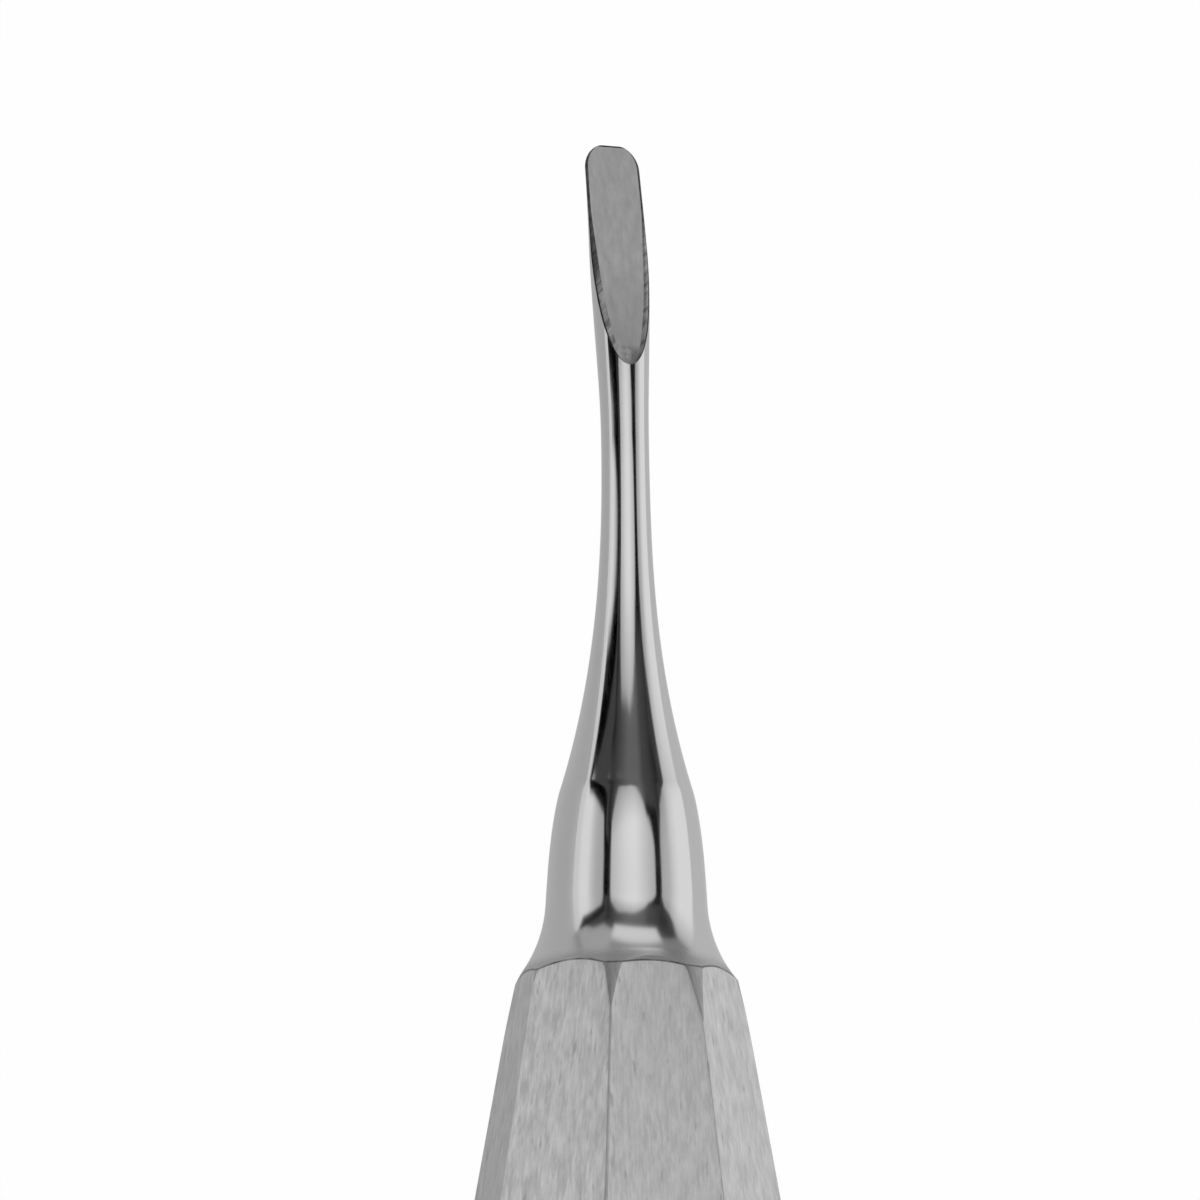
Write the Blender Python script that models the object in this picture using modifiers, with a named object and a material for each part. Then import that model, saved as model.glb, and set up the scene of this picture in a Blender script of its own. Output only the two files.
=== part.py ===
"""Luxating elevator for dental surgery: a ground blade on a bent shank, in a hollow eight-sided handle.

The instrument is drawn upright on its own axis, with its tip up and the blade's ground face towards -Y. Heights
along the axis are counted from the circle where the handle's corners begin: the working end is above it and the
handle below it. An empty then lays the whole instrument down on one flat of the handle, tip towards +Y.
"""

import math

import bmesh
import bpy
from mathutils import Vector

MM = 0.001

# Working end
TIP_REACH = 46.4 * MM
SHANK_RADIUS = 1.265 * MM
COLLAR_LENGTH = 9.67 * MM
COLLAR_TOP_RADIUS = 3.65 * MM
TRUMPET_LENGTH = 20.0 * MM
TRUMPET_POWER = 2.66
COLLAR_WAIST_HEIGHT = 4.2 * MM
COLLAR_WAIST_RADIUS = 4.22 * MM
COLLAR_BULGE = 0.10 * MM
FLARE_HOLLOW = 0.36 * MM
FLARE_RADIUS = 5.82 * MM

# Bend of the shank, away from the ground face
BEND_START = 20.0 * MM
BEND_OFFSET = 3.3 * MM
BEND_POWER = 2.6

# Blade
BLADE_LENGTH = 13.4 * MM
BLADE_RADIUS = 1.585 * MM
TIP_RADIUS = 1.48 * MM
WIDEST_FROM_TIP = 6.6 * MM
FORGED_LENGTH = 17.2 * MM
WHEEL_RADIUS = 90.0 * MM
TIP_FACE_HEIGHT = 0.18 * MM
TIP_BACK_DEPTH = 0.22 * MM
TIP_CORNER = 1.22 * MM
EDGE_BREAK = 0.26 * MM

# Handle, across its corners
HANDLE_LENGTH = 104.0 * MM
SIDES = 8
FRONT_CORNER_RADIUS = 5.97 * MM
FRONT_SLOPE = 0.177
FRONT_TAPER_LENGTH = 14.0 * MM
SHOULDER_LENGTH = 16.0 * MM
REAR_SLOPE = -0.041
DRESSING_SLOPE = 0.27
DRESSING_LENGTH = 5.0 * MM
DOME_LENGTH = 12.0 * MM
DOME_OVERSIZE = 0.4 * MM
WALL = 1.2 * MM

# Weld seam and the spigot in its socket
SEAM_HEIGHT = 1.0 * MM
SEAM_GAP = 0.1 * MM
SOCKET_RADIUS = 4.0 * MM
SOCKET_DEPTH = 6.0 * MM
SPIGOT_CLEARANCE = 0.1 * MM
SPIGOT_REACH = 1.5 * MM
SPIGOT_CHAMFER = 0.5 * MM

# Where the instrument's own origin lies on the resting flat, behind the handle's front corners
REST_POINT = 63.5 * MM

# Fineness of the solids
RING_POINTS = 40
FACE_POINTS = 9
TURNING_STEPS = 100
CURVE_STEPS = 6
TRUMPET_STEPS = 9
SHANK_STEPS = 12
RUN_OUT_STEPS = 14
TIP_STEPS = 6
LEAST_FACE_ANGLE = math.radians(8)
RUN_OUT_CROWDING = 1.6
MERGE = 0.00001 * MM

# How far stock and cutters run past what they cut
OVERRUN = 4.0 * MM

HALF_SIDE = math.pi / SIDES
REST_TILT = math.atan(-REAR_SLOPE * math.cos(HALF_SIDE))


def smooth_step(t):
    t = min(max(t, 0.0), 1.0)
    return t * t * (3 - 2 * t)


def spaced(first, last, steps):
    return [first + (last - first) * i / steps for i in range(steps + 1)]


def arc_radius(height, upper, lower, hollow):
    """Radius at a height on the arc between two points of the outline. A negative hollow makes it bulge."""
    upper, lower = Vector(upper), Vector(lower)
    chord = lower - upper
    outward = Vector((-chord.y, chord.x)).normalized()
    bow = ((chord.length / 2) ** 2 + hollow**2) / (2 * hollow)
    centre = (upper + lower) / 2 + outward * (bow - hollow)
    return centre.x - math.copysign(math.sqrt(bow**2 - (height - centre.y) ** 2), hollow)


def collar_radius(height):
    """Polished collar: it bulges down to its waist, then flares to the handle's corners."""
    waist = (COLLAR_WAIST_RADIUS, COLLAR_WAIST_HEIGHT)
    if height > COLLAR_WAIST_HEIGHT:
        return arc_radius(height, (COLLAR_TOP_RADIUS, COLLAR_LENGTH), waist, -COLLAR_BULGE)
    return arc_radius(height, waist, (FLARE_RADIUS, 0), FLARE_HOLLOW)


def shank_radius(height):
    """Outline seen from the front: the trumpet, then the thin shank, then the forged blade."""
    trumpet_top = COLLAR_LENGTH + TRUMPET_LENGTH
    below = max(trumpet_top - height, 0.0) / TRUMPET_LENGTH
    radius = SHANK_RADIUS + (COLLAR_TOP_RADIUS - SHANK_RADIUS) * below**TRUMPET_POWER
    swell_start = TIP_REACH - FORGED_LENGTH
    widest = TIP_REACH - WIDEST_FROM_TIP
    swell = smooth_step((height - swell_start) / (widest - swell_start))
    radius += (BLADE_RADIUS - SHANK_RADIUS) * swell
    narrowing = max(height - widest, 0.0) / WIDEST_FROM_TIP
    return radius - (BLADE_RADIUS - TIP_RADIUS) * narrowing


def bend(height):
    """Offset of the centre line towards +Y at a height, and its slope."""
    length = TIP_REACH - BEND_START
    t = max(height - BEND_START, 0.0) / length
    return BEND_OFFSET * t**BEND_POWER, BEND_OFFSET * BEND_POWER * t ** (BEND_POWER - 1) / length


def station(height):
    """Centre of the section at a height, and the direction there square to the centre line, towards the face."""
    offset, slope = bend(height)
    along = math.hypot(1, slope)
    return Vector((0, offset, height)), Vector((0, -1 / along, slope / along))


def wheel():
    """Centre of the grinding wheel that leaves the blade's hollow face."""
    heel_height = TIP_REACH - BLADE_LENGTH
    centre, out = station(heel_height)
    heel = centre + out * shank_radius(heel_height)
    centre, out = station(TIP_REACH)
    tip = centre + out * TIP_FACE_HEIGHT
    chord = tip - heel
    off_face = Vector((0, -chord.z, chord.y)).normalized()
    return (heel + tip) / 2 + off_face * math.sqrt(WHEEL_RADIUS**2 - (chord.length / 2) ** 2)


def face_height(height, wheel_centre):
    """How far above the centre line the wheel cuts."""
    centre, out = station(height)
    to_wheel = wheel_centre - centre
    reach = to_wheel.dot(out)
    return reach - math.sqrt(WHEEL_RADIUS**2 - to_wheel.length_squared + reach * reach)


def tip_narrowing(height, radius):
    """Share of the full width that the rounded corners leave near the tip."""
    from_tip = TIP_REACH - height
    if from_tip >= TIP_CORNER:
        return 1.0
    inside = TIP_CORNER - from_tip
    return (radius - TIP_CORNER + math.sqrt(TIP_CORNER**2 - inside**2)) / radius


def section(height, wheel_centre):
    """Outline of the shank or blade square to its centre line, as pairs of width and height over that line.

    The back is round and gets flatter towards the tip. Where the wheel has cut, the front is the ground face with
    its two edges broken. The same count of points always lies on the front, so that all outlines can be joined.
    """
    radius = shank_radius(height)
    heel_height = TIP_REACH - BLADE_LENGTH
    thinning = smooth_step((height - heel_height) / BLADE_LENGTH)
    back = radius + (TIP_BACK_DEPTH - radius) * thinning
    side = FACE_POINTS // 2
    even_angle = side * math.tau / RING_POINTS

    def on_round(angle):
        depth = radius if math.cos(angle) > 0 else back
        return radius * math.sin(angle), depth * math.cos(angle)

    ground = face_height(height, wheel_centre) if height > heel_height else radius
    edge_angle = math.acos(min(max(ground / radius, -1.0), 1.0))
    if edge_angle < LEAST_FACE_ANGLE:
        closing = smooth_step((height - BEND_START) / (heel_height - BEND_START))
        edge_angle = even_angle + (LEAST_FACE_ANGLE - even_angle) * closing
        front = [on_round(edge_angle * i / side) for i in range(-side, side + 1)]
    else:
        half_width = radius * math.sin(edge_angle)
        broken = min(EDGE_BREAK, half_width / 4)
        edge_angle += broken / (2 * radius)
        flat = half_width - broken
        front = [(flat * i / (side - 1), ground) for i in range(-side + 1, side)]
        front = [on_round(-edge_angle), *front, on_round(edge_angle)]
    gaps = RING_POINTS - FACE_POINTS + 1
    step = (math.tau - 2 * edge_angle) / gaps
    rear = [on_round(edge_angle + step * i) for i in range(1, gaps)]
    narrowing = tip_narrowing(height, radius)
    return [(across * narrowing, up) for across, up in front + rear]


def blade_heights():
    """Heights of the sections: even along the shank, closer where the face runs out and round the tip."""
    heel = TIP_REACH - BLADE_LENGTH
    corner = TIP_REACH - TIP_CORNER
    heights = spaced(BEND_START, heel, SHANK_STEPS)[:-1]
    for i in range(RUN_OUT_STEPS + 1):
        heights.append(heel + (corner - heel) * (i / RUN_OUT_STEPS) ** RUN_OUT_CROWDING)
    for i in range(1, TIP_STEPS + 1):
        heights.append(corner + TIP_CORNER * math.sin(math.pi / 2 * i / TIP_STEPS))
    return heights


def add_blade(mesh):
    """Joins the sections of the shank and blade into a tube, open where it leaves the trumpet."""
    wheel_centre = wheel()
    rings = []
    for height in blade_heights():
        centre, out = station(height)
        outline = section(height, wheel_centre)
        rings.append([mesh.verts.new(centre + Vector((x, 0, 0)) + out * up) for x, up in outline])
    for lower, upper in zip(rings, rings[1:]):
        for i in range(RING_POINTS):
            after = (i + 1) % RING_POINTS
            mesh.faces.new((lower[i], lower[after], upper[after], upper[i]))
    mesh.faces.new(rings[-1])


def trumpet_profile():
    """Outer side of what is turned on the working end, from the shank down to the spigot's end."""
    trumpet = spaced(BEND_START, COLLAR_LENGTH, TRUMPET_STEPS)
    collar = spaced(COLLAR_LENGTH, COLLAR_WAIST_HEIGHT, CURVE_STEPS)[1:]
    flare = spaced(COLLAR_WAIST_HEIGHT, SEAM_HEIGHT, 3 * CURVE_STEPS)[1:]
    profile = [(shank_radius(height), height) for height in trumpet]
    profile += [(collar_radius(height), height) for height in collar + flare]
    spigot = SOCKET_RADIUS - SPIGOT_CLEARANCE
    end = -SOCKET_DEPTH - SPIGOT_REACH
    profile += [(spigot, SEAM_HEIGHT), (spigot, end + SPIGOT_CHAMFER)]
    return profile + [(spigot - SPIGOT_CHAMFER, end), (0, end)]


def corner_radius(depth):
    """Radius across the handle's corners at a depth below their front circle."""
    arc_depth = min(max(depth - FRONT_TAPER_LENGTH, 0.0), SHOULDER_LENGTH)
    straight = min(depth, FRONT_TAPER_LENGTH)
    rear = max(depth - FRONT_TAPER_LENGTH - SHOULDER_LENGTH, 0.0)
    turning = (REAR_SLOPE - FRONT_SLOPE) / SHOULDER_LENGTH
    shoulder = FRONT_SLOPE * arc_depth + turning * arc_depth**2 / 2
    return FRONT_CORNER_RADIUS + FRONT_SLOPE * straight + shoulder + REAR_SLOPE * rear


def dome_arc(inset):
    """Quarter ellipse of the handle's far end, or of its hollow, which lies inside it by inset."""
    start = HANDLE_LENGTH - DOME_LENGTH
    radius = corner_radius(start) + DOME_OVERSIZE - inset
    length = DOME_LENGTH - inset
    angles = spaced(0, math.pi / 2, 2 * CURVE_STEPS)[:-1]
    return [(radius * math.cos(a), -start - length * math.sin(a)) for a in angles] + [(0, -start - length)]


def side_depths(first, last):
    """Depths between two ends at which the handle's sides need a point: its shoulder is round."""
    shoulder = spaced(FRONT_TAPER_LENGTH, FRONT_TAPER_LENGTH + SHOULDER_LENGTH, 2 * CURVE_STEPS)
    return [first, *[depth for depth in shoulder if first < depth < last], last]


def stock_profile():
    """Corner line of the eight-sided stock, longer than the handle at both ends."""
    depths = side_depths(-SEAM_HEIGHT - OVERRUN, HANDLE_LENGTH + OVERRUN)
    sides = [(corner_radius(depth), -depth) for depth in depths]
    return [(0, sides[0][1]), *sides, (0, sides[-1][1])]


def hollow_profile():
    """Corner line of the hollow, from the inner end of the socket to the inside of the dome."""
    thickness = WALL / math.cos(HALF_SIDE)
    dome_start = HANDLE_LENGTH - DOME_LENGTH
    sides = [(corner_radius(depth) - thickness, -depth) for depth in side_depths(SOCKET_DEPTH, dome_start)]
    dome = [(radius - DOME_OVERSIZE, height) for radius, height in dome_arc(thickness)[1:-1]]
    dome = [point for point in dome if point[0] > WALL]
    return [(0, sides[0][1]), *sides, *dome, (0, dome[-1][1])]


def turning_profile():
    """What the lathe leaves of the stock: the flare, the dressed corners and the domed far end."""
    flare = spaced(SEAM_HEIGHT - SEAM_GAP, 0, CURVE_STEPS)
    dressed = (FLARE_RADIUS + DRESSING_SLOPE * DRESSING_LENGTH, -DRESSING_LENGTH)
    clear = corner_radius(FRONT_TAPER_LENGTH + SHOULDER_LENGTH) + OVERRUN
    dome = dome_arc(0)
    profile = [(0, flare[0]), *[(collar_radius(height), height) for height in flare], dressed]
    profile += [(clear, -FRONT_TAPER_LENGTH - SHOULDER_LENGTH), (clear, dome[0][1] + DOME_OVERSIZE)]
    return [*profile, *dome]


def socket_profile():
    """Bore that takes the spigot, longer than the wall at both ends."""
    top, bottom = SEAM_HEIGHT + OVERRUN, -SOCKET_DEPTH - WALL
    return [(0, top), (SOCKET_RADIUS, top), (SOCKET_RADIUS, bottom), (0, bottom)]


def turned(name, profile, steps, collection, parent):
    """Object with a Screw modifier round Z, from pairs of radius and height that run down its outer side."""
    mesh = bpy.data.meshes.new(name)
    edges = [(i, i + 1) for i in range(len(profile) - 1)]
    mesh.from_pydata([(radius, 0, height) for radius, height in profile], edges, [])
    item = bpy.data.objects.new(name, mesh)
    collection.objects.link(item)
    item.parent = parent
    screw = item.modifiers.new("turn", "SCREW")
    screw.steps = steps
    screw.render_steps = steps
    screw.use_merge_vertices = True
    screw.merge_threshold = MERGE
    return item


def cut(item, cutter, operation):
    boolean = item.modifiers.new(cutter.name, "BOOLEAN")
    boolean.operation = operation
    boolean.object = cutter
    cutter.hide_render = True
    cutter.display_type = "WIRE"


def steel(name, colour, roughness):
    material = bpy.data.materials.new(name)
    material.use_nodes = True
    shader = material.node_tree.nodes["Principled BSDF"]
    shader.inputs["Base Color"].default_value = (*colour, 1)
    shader.inputs["Metallic"].default_value = 1
    shader.inputs["Roughness"].default_value = roughness
    return material


def shade(item, material):
    item.data.materials.append(material)
    item.data.shade_smooth()
    item.data.set_sharp_from_angle(angle=math.radians(25))


def make_working_end(collection, parent):
    """Turns the trumpet, collar and spigot, then welds the loft of the shank and blade onto their open top."""
    blank = turned("turned_blank", trumpet_profile(), RING_POINTS, collection, parent)
    depsgraph = bpy.context.evaluated_depsgraph_get()
    turned_mesh = bpy.data.meshes.new_from_object(blank.evaluated_get(depsgraph))
    bpy.data.objects.remove(blank)
    forging = bmesh.new()
    forging.from_mesh(turned_mesh)
    add_blade(forging)
    bmesh.ops.remove_doubles(forging, verts=forging.verts, dist=MERGE)
    bmesh.ops.recalc_face_normals(forging, faces=forging.faces)
    mesh = bpy.data.meshes.new("working_end")
    forging.to_mesh(mesh)
    forging.free()
    bpy.data.meshes.remove(turned_mesh)
    item = bpy.data.objects.new("working_end", mesh)
    collection.objects.link(item)
    item.parent = parent
    shade(item, steel("polished_steel", (0.72, 0.72, 0.72), 0.12))


def make_handle(collection, cutters, parent):
    """Cuts the eight-sided stock to the turned outline, hollows it and bores its socket.

    The bore is turned by half a step, so that none of its lines meets a line of the outline's flat top.
    """
    handle = turned("hollow_handle", stock_profile(), SIDES, collection, parent)
    hollow = turned("hollow", hollow_profile(), SIDES, cutters, parent)
    handle.rotation_euler.z = HALF_SIDE
    hollow.rotation_euler.z = HALF_SIDE
    socket = turned("socket", socket_profile(), TURNING_STEPS // 2, cutters, parent)
    socket.rotation_euler.z = math.pi / TURNING_STEPS
    cut(handle, turned("outline", turning_profile(), TURNING_STEPS, cutters, parent), "INTERSECT")
    cut(handle, hollow, "DIFFERENCE")
    cut(handle, socket, "DIFFERENCE")
    shade(handle, steel("satin_steel", (0.56, 0.56, 0.56), 0.38))


def lay_down():
    """Empty that carries the upright instrument and sets it on the handle's lowest flat."""
    flat_at_front = math.cos(HALF_SIDE) * (corner_radius(REST_POINT) - REAR_SLOPE * REST_POINT)
    flat_at_rest = math.cos(HALF_SIDE) * corner_radius(REST_POINT)
    bench = bpy.data.objects.new("bench", None)
    bench.rotation_euler.x = REST_TILT - math.pi / 2
    back = REST_POINT * math.cos(REST_TILT) - flat_at_rest * math.sin(REST_TILT)
    bench.location = (0, back, flat_at_front * math.cos(REST_TILT))
    return bench


def build():
    for item in list(bpy.data.objects):
        bpy.data.objects.remove(item)
    parts = bpy.data.collections.new("luxating_elevator")
    cutters = bpy.data.collections.new("cutters")
    for collection in (parts, cutters):
        bpy.context.scene.collection.children.link(collection)
    bench = lay_down()
    parts.objects.link(bench)
    make_working_end(parts, bench)
    make_handle(parts, cutters, bench)


build()
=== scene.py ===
# %% [markdown]
# A luxating elevator is a dentist's tool. Its thin ground blade is worked down beside the root of a
# tooth, and the hand turns it from a hollow handle with eight sides. The forged blade, its shank and a
# turned collar are one piece of mirror-bright steel, welded to the satin handle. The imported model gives
# every size and place here, and this lesson makes the fine surfaces and the finishes of that steel.

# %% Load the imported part
import math

import bmesh
import bpy
import numpy as np
from mathutils import Matrix, Vector


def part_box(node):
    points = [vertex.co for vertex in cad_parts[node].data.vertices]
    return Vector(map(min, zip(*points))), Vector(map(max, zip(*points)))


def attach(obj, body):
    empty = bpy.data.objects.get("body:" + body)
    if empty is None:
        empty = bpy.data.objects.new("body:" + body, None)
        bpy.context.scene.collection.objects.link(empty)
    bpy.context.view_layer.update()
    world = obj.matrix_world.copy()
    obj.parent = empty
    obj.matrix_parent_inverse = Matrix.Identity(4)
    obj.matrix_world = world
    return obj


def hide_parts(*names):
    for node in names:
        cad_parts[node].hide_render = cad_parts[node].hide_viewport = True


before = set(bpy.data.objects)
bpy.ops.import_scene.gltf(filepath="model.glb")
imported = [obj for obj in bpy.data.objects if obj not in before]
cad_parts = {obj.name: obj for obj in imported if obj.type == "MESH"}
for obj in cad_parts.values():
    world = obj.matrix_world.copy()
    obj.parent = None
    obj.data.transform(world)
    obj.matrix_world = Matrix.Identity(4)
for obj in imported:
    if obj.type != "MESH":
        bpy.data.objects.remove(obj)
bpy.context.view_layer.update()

# %% [markdown]
# Instruments are turned and ground, so they are easiest to describe by their own axis. Each point below
# has three numbers: x across the instrument, n out of its ground face, and d along the axis towards the
# tip. They are counted in millimetres from the circle where the handle's corners begin. Behind that
# circle a depth is counted instead, which grows towards the handle's far end.

# %% Outline of the handle's corners
MM = 0.001
SIDES = 8
HALF_SIDE = math.pi / SIDES
FRONT_CORNER_RADIUS = 5.97
FRONT_SLOPE = 0.177
FRONT_TAPER_LENGTH = 14.0
SHOULDER_LENGTH = 16.0
REAR_SLOPE = -0.041


def corner_radius(depth):
    """Radius across the corners: a straight taper, a parabola over the shoulder, a straight fall."""
    along_shoulder = np.clip(depth - FRONT_TAPER_LENGTH, 0, SHOULDER_LENGTH)
    rear = np.maximum(depth - FRONT_TAPER_LENGTH - SHOULDER_LENGTH, 0)
    turning = (REAR_SLOPE - FRONT_SLOPE) / SHOULDER_LENGTH
    shoulder = FRONT_SLOPE * along_shoulder + turning * along_shoulder**2 / 2
    front = FRONT_CORNER_RADIUS + FRONT_SLOPE * np.minimum(depth, FRONT_TAPER_LENGTH)
    return front + shoulder + REAR_SLOPE * rear


shoulder_end = FRONT_TAPER_LENGTH + SHOULDER_LENGTH
across_corners = 2 * corner_radius(np.array([0, shoulder_end]))
print("across the corners at the front and behind the shoulder:", np.round(across_corners, 1), "mm")

# %% [markdown]
# The instrument lies on one flat of its tapering handle, so its axis rises a little towards the tip. An
# object could be turned and moved for that, but here the object stays at the origin and every point is
# laid down in its mesh, by one turn and one shift. Patterns that read Object coordinates then stay where
# they are.

# %% From the instrument's axis to the bench
REST_POINT = 63.5
REST_TILT = math.atan(-REAR_SLOPE * math.cos(HALF_SIDE))


def lay_down(points):
    """Turns points of x, n and d by the resting tilt, sets them on the bench, in metres."""
    flat_at_front = math.cos(HALF_SIDE) * (corner_radius(REST_POINT) - REAR_SLOPE * REST_POINT)
    flat_at_rest = math.cos(HALF_SIDE) * corner_radius(REST_POINT)
    back = REST_POINT * math.cos(REST_TILT) - flat_at_rest * math.sin(REST_TILT)
    x, n, d = np.moveaxis(np.asarray(points, float), -1, 0)
    along = d * math.cos(REST_TILT) - n * math.sin(REST_TILT) + back
    up = d * math.sin(REST_TILT) + n * math.cos(REST_TILT) + flat_at_front * math.cos(REST_TILT)
    return np.stack([x, along, up], axis=-1) * MM


for node in ("working_end", "hollow_handle"):
    low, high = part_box(node)
    print(node, "runs from", round(low.y / MM, 1), "to", round(high.y / MM, 1), "mm")

# %% [markdown]
# Every surface here is a grid: rows along the instrument and columns round it. The points come as arrays,
# so that numpy works out all of them at once, and a mesh only needs to know which four points make each
# face. That is the same pattern for every grid, so it is counted and not drawn.

# %% Faces of a grid
def weave(rows, columns):
    """Corner numbers of the quads of a grid of points that is counted row by row."""
    row = np.arange(rows - 1)[:, None] * columns
    column = np.arange(columns - 1)[None, :]
    first = (row + column).ravel()
    return np.stack([first, first + 1, first + columns + 1, first + columns], axis=-1)


print("3 rows of 4 points make", len(weave(3, 4)), "faces, the first with corners", weave(3, 4)[0])

# %% [markdown]
# A piece is one or more grids that share their border points. A grid comes as its pattern places, its
# points and the number of its finish. The pattern places become a UV map, which tells a finish where it
# is on the steel.

# %% Grids into one mesh
PATTERN = "along_steel"


def join_grids(name, grids):
    """One mesh from grids of ((pattern places, points), finish), counted on from grid to grid."""
    corners = []
    finish_of = []
    start = 0
    for (_, points), finish in grids:
        quads = weave(*points.shape[:2]) + start
        corners.append(quads)
        finish_of.append(np.full(len(quads), finish))
        start += points.shape[0] * points.shape[1]
    corners = np.concatenate(corners)
    places = np.concatenate([points.reshape(-1, 3) for (_, points), _ in grids])
    pattern = np.concatenate([uv.reshape(-1, 2) for (uv, _), _ in grids])
    mesh = bpy.data.meshes.new(name)
    mesh.from_pydata(lay_down(places), [], corners)
    mesh.uv_layers.new(name=PATTERN).data.foreach_set("uv", pattern[corners.ravel()].ravel())
    mesh.polygons.foreach_set("material_index", np.concatenate(finish_of))
    return mesh


print("the pattern map is called", PATTERN)

# %% [markdown]
# Blender then welds the borders, turns the faces outwards and shades them smooth. An edge stays sharp
# where two finishes meet, because a ground face ends in a crisp line. The count of open edges shows
# whether the piece is closed: on a closed piece it is nought.

# %% Welded borders and sharp edges
WELD = 0.0000001
SHARP_ANGLE = math.radians(40)


def weld_borders(mesh):
    """Welds the mesh, marks its sharp edges and gives back its volume and its count of open edges."""
    work = bmesh.new()
    work.from_mesh(mesh)
    bmesh.ops.remove_doubles(work, verts=work.verts, dist=WELD)
    bmesh.ops.dissolve_degenerate(work, edges=work.edges, dist=WELD)
    bmesh.ops.recalc_face_normals(work, faces=work.faces)
    for face in work.faces:
        face.smooth = True
    for edge in work.edges:
        if len(edge.link_faces) == 2:
            one, other = edge.link_faces
            same_finish = one.material_index == other.material_index
            edge.smooth = same_finish and edge.calc_face_angle() < SHARP_ANGLE
    volume = work.calc_volume()
    open_edges = sum(not edge.is_manifold for edge in work.edges)
    work.to_mesh(mesh)
    work.free()
    return volume, open_edges


print("edges steeper than", round(math.degrees(SHARP_ANGLE)), "degrees stay sharp")

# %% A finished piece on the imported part
def make_piece(name, grids, finishes, replaced):
    """Puts a welded mesh with its finishes on the body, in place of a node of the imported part."""
    mesh = join_grids(name, grids)
    volume, open_edges = weld_borders(mesh)
    for finish in finishes:
        mesh.materials.append(finish)
    item = bpy.data.objects.new(name, mesh)
    bpy.context.scene.collection.objects.link(item)
    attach(item, "root")
    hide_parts(replaced)
    volume = round(volume / MM**3 / 1000, 2)
    print(name, len(mesh.polygons), "faces,", volume, "cm3, open edges", open_edges)


# %% [markdown]
# The working end starts as a turned blank. A polished collar flares down to the handle and narrows
# upwards like a trumpet into a shank of two and a half millimetres. It could be drawn as a profile of
# many points, but a bright surface shows every dent of an outline that is joined from short bits. So its
# outline is one radius for each place on the axis, made of an arc, a cube and a power curve.

# %% Curves that join smoothly
def smooth_step(t):
    """Rises from 0 to 1 as three t squared less two t cubed, level at both ends."""
    t = np.clip(t, 0, 1)
    return t * t * (3 - 2 * t)


def arc_radius(height, upper, lower, hollow):
    """Radius at a height on the circle through two points that bows inwards by hollow."""
    upper, lower = np.array(upper), np.array(lower)
    chord = lower - upper
    length = np.hypot(*chord)
    outward = np.array([-chord[1], chord[0]]) / length
    bow = ((length / 2) ** 2 + hollow**2) / (2 * hollow)
    centre = (upper + lower) / 2 + outward * (bow - hollow)
    return centre[0] - np.sqrt(bow**2 - (height - centre[1]) ** 2)


print("a quarter and half of the way, the smooth step is", smooth_step(np.array([0.25, 0.5])))

# %% Flare and collar
COLLAR_LENGTH = 9.95
COLLAR_TOP_RADIUS = 3.562
COLLAR_WAIST_HEIGHT = 4.2
COLLAR_WAIST_RADIUS = 4.22
COLLAR_FOOT_SLOPE = 0.06
FLARE_HOLLOW = 0.36
FLARE_RADIUS = 5.82


def flare_radius(d):
    """Radius on the arc that bows inwards from the collar's waist to the edge of the flare."""
    waist = (COLLAR_WAIST_RADIUS, COLLAR_WAIST_HEIGHT)
    return arc_radius(np.minimum(d, COLLAR_WAIST_HEIGHT), waist, (FLARE_RADIUS, 0), FLARE_HOLLOW)


def collar_radius(d):
    """Radius below the collar's upper edge: a steady slope and a cubic bulge, flat at the waist."""
    length = COLLAR_LENGTH - COLLAR_WAIST_HEIGHT
    down = (COLLAR_LENGTH - np.clip(d, COLLAR_WAIST_HEIGHT, COLLAR_LENGTH)) / length
    rest = COLLAR_WAIST_RADIUS - COLLAR_TOP_RADIUS - COLLAR_FOOT_SLOPE * length
    return COLLAR_TOP_RADIUS + COLLAR_FOOT_SLOPE * length * down + rest * (1 - (1 - down) ** 3)


print("the collar's radius half way up is", round(float(collar_radius(7.0)), 2), "mm")

# %% [markdown]
# Above the collar the trumpet fades into the shank. The blank is then forged: hammered flat, the shank
# swells a little into the blade, which is widest some way before its tip.

# %% Trumpet, shank and blade
TIP_REACH = 46.4
TRUMPET_LENGTH = 19.72
TRUMPET_POWER = 2.66
SHANK_RADIUS = 1.265
BLADE_RADIUS = 1.585
TIP_RADIUS = 1.48
WIDEST_FROM_TIP = 6.6
FORGED_LENGTH = 17.2


def trumpet_radius(d):
    """Radius of the shank, plus a power of the way back to the collar times what the collar is wider."""
    below = np.clip(COLLAR_LENGTH + TRUMPET_LENGTH - d, 0, TRUMPET_LENGTH) / TRUMPET_LENGTH
    return SHANK_RADIUS + (COLLAR_TOP_RADIUS - SHANK_RADIUS) * below**TRUMPET_POWER


def forged_swell(d):
    """What forging adds to the radius: a smooth step up to the widest place, then a straight fall."""
    widest = TIP_REACH - WIDEST_FROM_TIP
    rise = FORGED_LENGTH - WIDEST_FROM_TIP
    swell = smooth_step((d - widest + FORGED_LENGTH - WIDEST_FROM_TIP) / rise)
    narrowing = np.maximum(d - widest, 0) / WIDEST_FROM_TIP
    return (BLADE_RADIUS - SHANK_RADIUS) * swell - (BLADE_RADIUS - TIP_RADIUS) * narrowing


def turned_radius(d):
    """Radius at d: flare up to the waist, collar up to its edge, then trumpet and swell together."""
    above = np.where(d < COLLAR_LENGTH, collar_radius(d), trumpet_radius(d) + forged_swell(d))
    return np.where(d < COLLAR_WAIST_HEIGHT, flare_radius(d), above)


print("shank and blade are", 2 * SHANK_RADIUS, "and", 2 * BLADE_RADIUS, "mm wide")

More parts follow.
